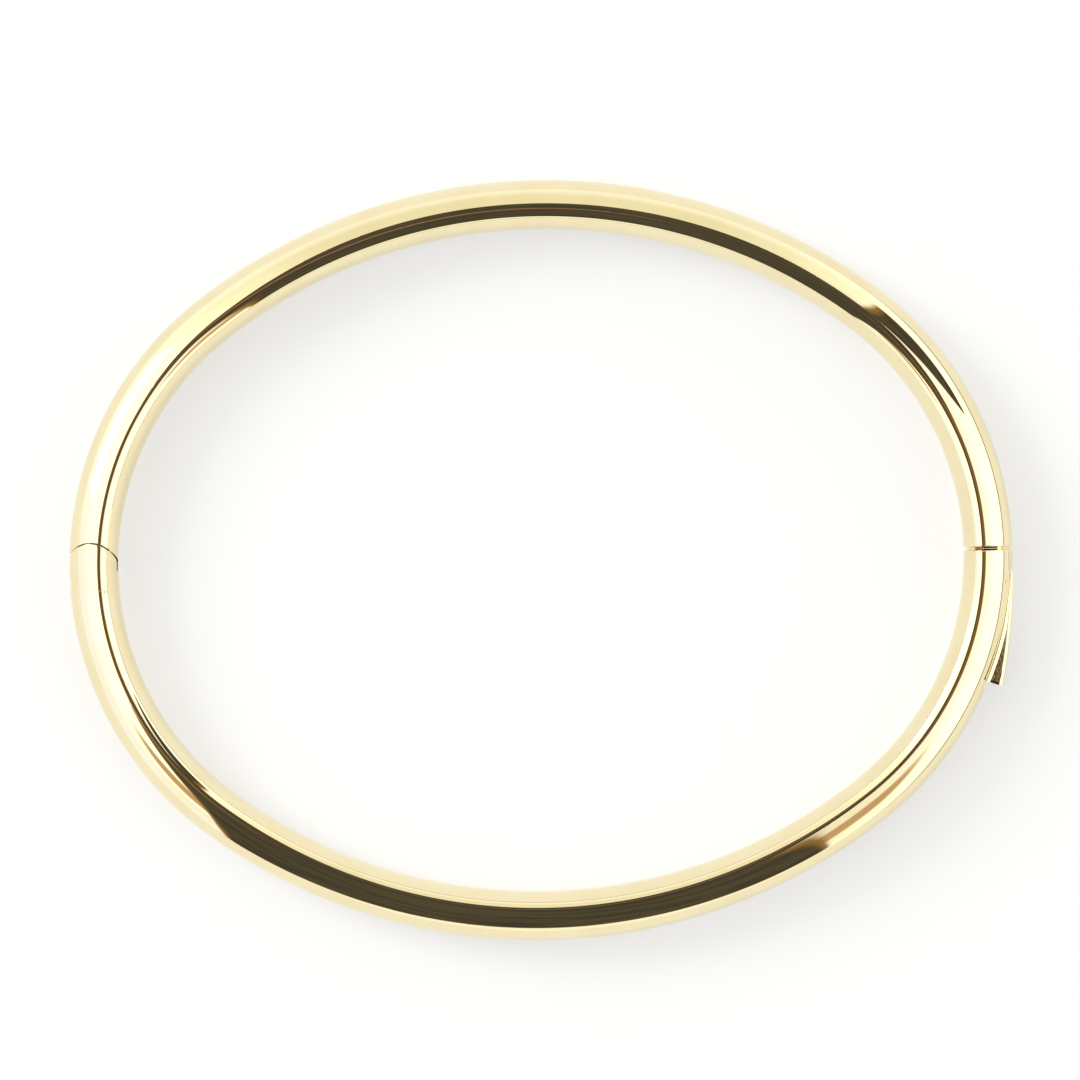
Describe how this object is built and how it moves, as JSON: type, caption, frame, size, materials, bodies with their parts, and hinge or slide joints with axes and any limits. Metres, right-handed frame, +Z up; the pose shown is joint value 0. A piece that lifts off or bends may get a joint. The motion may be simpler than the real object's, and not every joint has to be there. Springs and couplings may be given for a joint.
{
  "type": "hinged bangle",
  "caption": "Oval hinged bangle of polished yellow gold tube, with a round knuckle hinge, a tongue clasp with a straight seam, and a small release lever on its outer side.",
  "frame": {"origin": "middle of the oval, on the surface that the bangle lies on", "axes": "+X from the hinge to the clasp, +Y towards the upper half, +Z up along the wrist opening"},
  "size_m": [0.067, 0.054, 0.0045],
  "materials": {
    "polished_gold": "mirror polish, yellow gold",
    "lever_gold": "polished outside, fine sawn sides",
    "pin_gold": "drawn wire, satin"
  },
  "bodies": {
    "lower": {"lower_half": "polished_gold", "hinge_pin": "pin_gold", "lever_pin": "pin_gold"},
    "upper": {"upper_half": "polished_gold"},
    "lever": {"release_lever": "lever_gold"}
  },
  "joints": [
    {"name": "main_hinge", "type": "hinge", "parent": "lower", "child": "upper", "pos_m": [-0.03185, 0, 0.00225], "axis": [0, 0, 1], "range_deg": [0, 60]},
    {"name": "lever_press", "type": "hinge", "parent": "lower", "child": "lever", "pos_m": [0.03255, -0.00235, 0.00225], "axis": [0, 0, -1], "range_deg": [0, 8], "stiffness_Nm_per_rad": 0.01}
  ]
}
